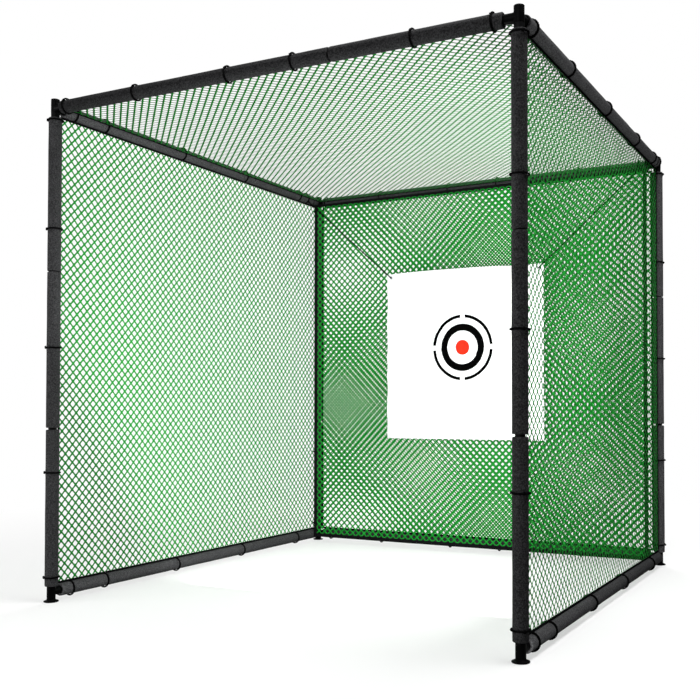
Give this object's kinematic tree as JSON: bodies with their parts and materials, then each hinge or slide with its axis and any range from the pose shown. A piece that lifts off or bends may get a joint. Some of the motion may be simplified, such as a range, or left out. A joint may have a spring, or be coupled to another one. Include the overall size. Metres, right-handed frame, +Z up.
{
  "type": "golf practice net",
  "caption": "Cube-shaped golf practice cage of foam-sleeved plug-together tube with green diamond netting, a loose inner impact net and a hanging ring target sheet.",
  "frame": {"origin": "centre of the cage's footprint, on the floor", "axes": "+Z up, the open front faces -Y, +X to the right of someone looking in through the open front"},
  "size_m": [3.044, 3.0438, 3.006],
  "materials": {
    "frame_tube": "satin",
    "foam_sleeve": "matte",
    "connector": "satin",
    "foot": "satin",
    "cap": "satin",
    "tie_cord": "matte",
    "net_border": "matte",
    "netting": "matte",
    "rope": "matte",
    "target_cloth": "matte",
    "eyelet": "satin",
    "target_cord": "matte"
  },
  "bodies": {
    "cage": {"front_left_post_tube": "frame_tube", "front_right_post_tube": "frame_tube", "back_left_post_tube": "frame_tube", "back_right_post_tube": "frame_tube", "front_top_beam_tube": "frame_tube", "back_top_beam_tube": "frame_tube", "left_top_beam_tube": "frame_tube", "right_top_beam_tube": "frame_tube", "left_bottom_beam_tube": "frame_tube", "right_bottom_beam_tube": "frame_tube", "back_bottom_beam_tube": "frame_tube", "front_left_post_foam": "foam_sleeve", "front_right_post_foam": "foam_sleeve", "back_left_post_foam": "foam_sleeve", "back_right_post_foam": "foam_sleeve", "front_top_beam_foam": "foam_sleeve", "back_top_beam_foam": "foam_sleeve", "left_top_beam_foam": "foam_sleeve", "right_top_beam_foam": "foam_sleeve", "left_bottom_beam_foam": "foam_sleeve", "right_bottom_beam_foam": "foam_sleeve", "back_bottom_beam_foam": "foam_sleeve", "front_left_bottom_connector": "connector", "front_right_bottom_connector": "connector", "back_left_bottom_connector": "connector", "back_right_bottom_connector": "connector", "front_left_top_connector": "connector", "front_right_top_connector": "connector", "back_left_top_connector": "connector", "back_right_top_connector": "connector", "front_left_foot": "foot", "front_right_foot": "foot", "back_left_foot": "foot", "back_right_foot": "foot", "top_caps": "cap", "post_ties": "tie_cord", "top_beam_ties": "tie_cord", "bottom_beam_ties": "tie_cord", "left_net": "netting", "right_net": "netting", "roof_net": "netting", "back_net": "netting", "left_net_border": "net_border", "right_net_border": "net_border", "roof_net_border": "net_border", "back_net_border": "net_border", "impact_net_rope": "rope", "target_cord_loops": "target_cord"},
    "impact_net": {"impact_net": "netting", "impact_net_border": "net_border"},
    "target_cords": {"target_cord_left": "target_cord", "target_cord_right": "target_cord"},
    "target_sheet": {"target_sheet": "target_cloth", "target_eyelets": "eyelet"}
  },
  "joints": [
    {"name": "impact_net_swing", "type": "hinge", "parent": "cage", "child": "impact_net", "pos_m": [0, 1.334, 2.89631], "axis": [1, 0, 0], "range_deg": [-0.2, 1.8]},
    {"name": "target_cord_swing", "type": "hinge", "parent": "cage", "child": "target_cords", "pos_m": [0, 1.25, 2.91948], "axis": [1, 0, 0], "range_deg": [-25, 0.7]},
    {"name": "target_sheet_tilt", "type": "hinge", "parent": "target_cords", "child": "target_sheet", "pos_m": [0, 1.25, 2.212], "axis": [1, 0, 0], "range_deg": [-18, 1.8]}
  ]
}
